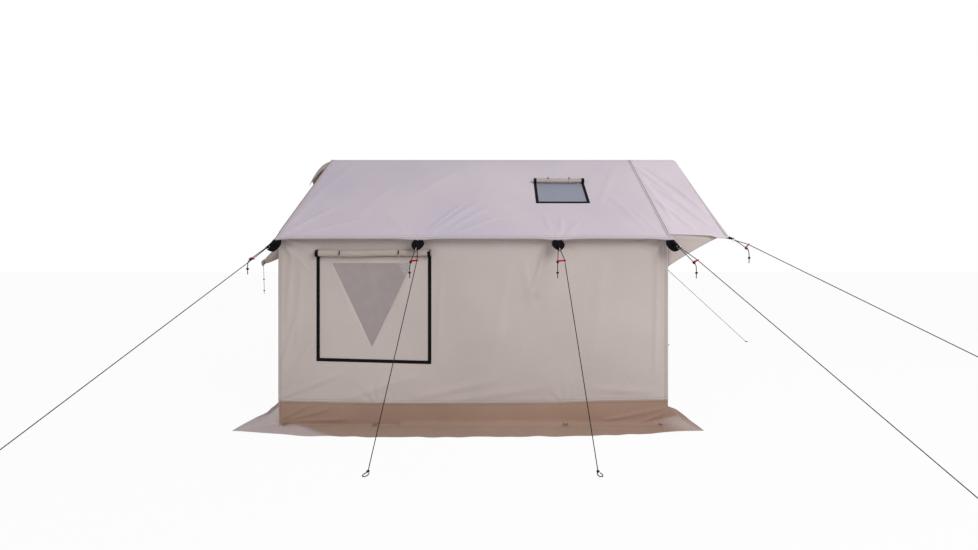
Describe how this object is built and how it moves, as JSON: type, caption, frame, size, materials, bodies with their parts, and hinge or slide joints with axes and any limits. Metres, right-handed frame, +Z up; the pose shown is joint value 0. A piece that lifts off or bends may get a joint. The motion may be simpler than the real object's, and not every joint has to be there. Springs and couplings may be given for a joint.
{
  "type": "wall tent",
  "caption": "Ridge-roofed canvas wall tent on a tube frame, with a porch awning, zipped door flaps, side windows, a stove opening, a ground skirt and guy ropes with slides.",
  "frame": {"origin": "on the ground, in the middle of the tent without its guy ropes", "axes": "+X along the ridge towards the door and the awning, +Y to the far side wall, +Z up"},
  "size_m": [6.9839, 5.7596, 2.33],
  "materials": {
    "black_webbing": "ribbed woven webbing",
    "brown_cloth": "dull coated ground cloth",
    "dark_rope": "braided cord",
    "glass_cloth": "smooth coated glass cloth",
    "nickel": "bright nickel plate",
    "red_slide": "red anodised, satin",
    "roof_canvas": "dull woven cotton canvas",
    "steel_tube": "zinc-plated, satin",
    "trim_canvas": "dull woven cotton canvas, a little warmer",
    "wall_canvas": "dull woven cotton canvas",
    "window_net": "fine see-through net"
  },
  "bodies": {
    "tent": {"awning": "roof_canvas", "cable_sleeve": "trim_canvas", "eave_pole_far": "steel_tube", "eave_pole_near": "steel_tube", "front_wall": "wall_canvas", "guy_rope_awning_far": "dark_rope", "guy_rope_awning_near": "dark_rope", "guy_rope_front_far": "dark_rope", "guy_rope_front_near": "dark_rope", "guy_rope_mid_front_far": "dark_rope", "guy_rope_mid_front_near": "dark_rope", "guy_rope_mid_rear_far": "dark_rope", "guy_rope_mid_rear_near": "dark_rope", "guy_rope_rear_far": "dark_rope", "guy_rope_rear_near": "dark_rope", "leg_front_far": "steel_tube", "leg_front_near": "steel_tube", "leg_middle_far": "steel_tube", "leg_middle_near": "steel_tube", "leg_rear_far": "steel_tube", "leg_rear_near": "steel_tube", "rafters_front": "steel_tube", "rafters_middle": "steel_tube", "rafters_rear": "steel_tube", "rear_wall": "wall_canvas", "ridge_pole_front": "steel_tube", "ridge_pole_rear": "steel_tube", "ridge_port_hood": "trim_canvas", "roof": "roof_canvas", "sleeve_drawstring": "dark_rope", "sod_cloth": "brown_cloth", "stove_jack_cover": "trim_canvas", "stove_jack_panel": "glass_cloth", "stove_jack_tape": "black_webbing", "wall_far": "wall_canvas", "wall_near": "wall_canvas", "window_cover_far": "trim_canvas", "window_cover_near": "trim_canvas", "window_leaf_far": "wall_canvas", "window_leaf_near": "wall_canvas", "window_net_far": "window_net", "window_net_near": "window_net", "window_tape_far": "black_webbing", "window_tape_near": "black_webbing"},
    "door_near": {"door_near": "wall_canvas", "zip_tape_near": "black_webbing"},
    "door_far": {"door_far": "wall_canvas", "zip_tape_far": "black_webbing"},
    "zip_slider": {"zip_slider": "nickel"},
    "tensioner_rear_near": {"tensioner_rear_near": "red_slide"},
    "tensioner_mid_rear_near": {"tensioner_mid_rear_near": "red_slide"},
    "tensioner_mid_front_near": {"tensioner_mid_front_near": "red_slide"},
    "tensioner_front_near": {"tensioner_front_near": "red_slide"},
    "tensioner_awning_near": {"tensioner_awning_near": "red_slide"},
    "tensioner_rear_far": {"tensioner_rear_far": "red_slide"},
    "tensioner_mid_rear_far": {"tensioner_mid_rear_far": "red_slide"},
    "tensioner_mid_front_far": {"tensioner_mid_front_far": "red_slide"},
    "tensioner_front_far": {"tensioner_front_far": "red_slide"},
    "tensioner_awning_far": {"tensioner_awning_far": "red_slide"}
  },
  "joints": [
    {"name": "door_near_swing", "type": "hinge", "parent": "tent", "child": "door_near", "pos_m": [1.406, -0.5992, 0.03], "axis": [0, 0, -1], "range_deg": [0, 90]},
    {"name": "door_far_swing", "type": "hinge", "parent": "tent", "child": "door_far", "pos_m": [1.406, 0.5992, 0.03], "axis": [0, 0, 1], "range_deg": [0, 90]},
    {"name": "zip_slide", "type": "slide", "parent": "door_near", "child": "zip_slider", "axis": [0, 0, -1], "range_m": [0, 1.6]},
    {"name": "tensioner_rear_near_slide", "type": "slide", "parent": "tent", "child": "tensioner_rear_near", "axis": [-0.5652, -0.531, -0.6313], "range_m": [-0.03, 0.3], "deforming": ["guy_rope_rear_near"]},
    {"name": "tensioner_mid_rear_near_slide", "type": "slide", "parent": "tent", "child": "tensioner_mid_rear_near", "axis": [-0.1176, -0.4824, -0.868], "range_m": [-0.03, 0.3], "deforming": ["guy_rope_mid_rear_near"]},
    {"name": "tensioner_mid_front_near_slide", "type": "slide", "parent": "tent", "child": "tensioner_mid_front_near", "axis": [0.0762, -0.4895, -0.8687], "range_m": [-0.03, 0.3], "deforming": ["guy_rope_mid_front_near"]},
    {"name": "tensioner_front_near_slide", "type": "slide", "parent": "tent", "child": "tensioner_front_near", "axis": [0.5351, -0.5515, -0.64], "range_m": [-0.03, 0.3], "deforming": ["guy_rope_front_near"]},
    {"name": "tensioner_awning_near_slide", "type": "slide", "parent": "tent", "child": "tensioner_awning_near", "axis": [0.6958, -0.5279, -0.4869], "range_m": [-0.03, 0.3], "deforming": ["guy_rope_awning_near"]},
    {"name": "tensioner_rear_far_slide", "type": "slide", "parent": "tent", "child": "tensioner_rear_far", "axis": [-0.5652, 0.531, -0.6313], "range_m": [-0.03, 0.3], "deforming": ["guy_rope_rear_far"]},
    {"name": "tensioner_mid_rear_far_slide", "type": "slide", "parent": "tent", "child": "tensioner_mid_rear_far", "axis": [-0.1176, 0.4824, -0.868], "range_m": [-0.03, 0.3], "deforming": ["guy_rope_mid_rear_far"]},
    {"name": "tensioner_mid_front_far_slide", "type": "slide", "parent": "tent", "child": "tensioner_mid_front_far", "axis": [0.0762, 0.4895, -0.8687], "range_m": [-0.03, 0.3], "deforming": ["guy_rope_mid_front_far"]},
    {"name": "tensioner_front_far_slide", "type": "slide", "parent": "tent", "child": "tensioner_front_far", "axis": [0.5351, 0.5515, -0.64], "range_m": [-0.03, 0.3], "deforming": ["guy_rope_front_far"]},
    {"name": "tensioner_awning_far_slide", "type": "slide", "parent": "tent", "child": "tensioner_awning_far", "axis": [0.6958, 0.5279, -0.4869], "range_m": [-0.03, 0.3], "deforming": ["guy_rope_awning_far"]}
  ]
}
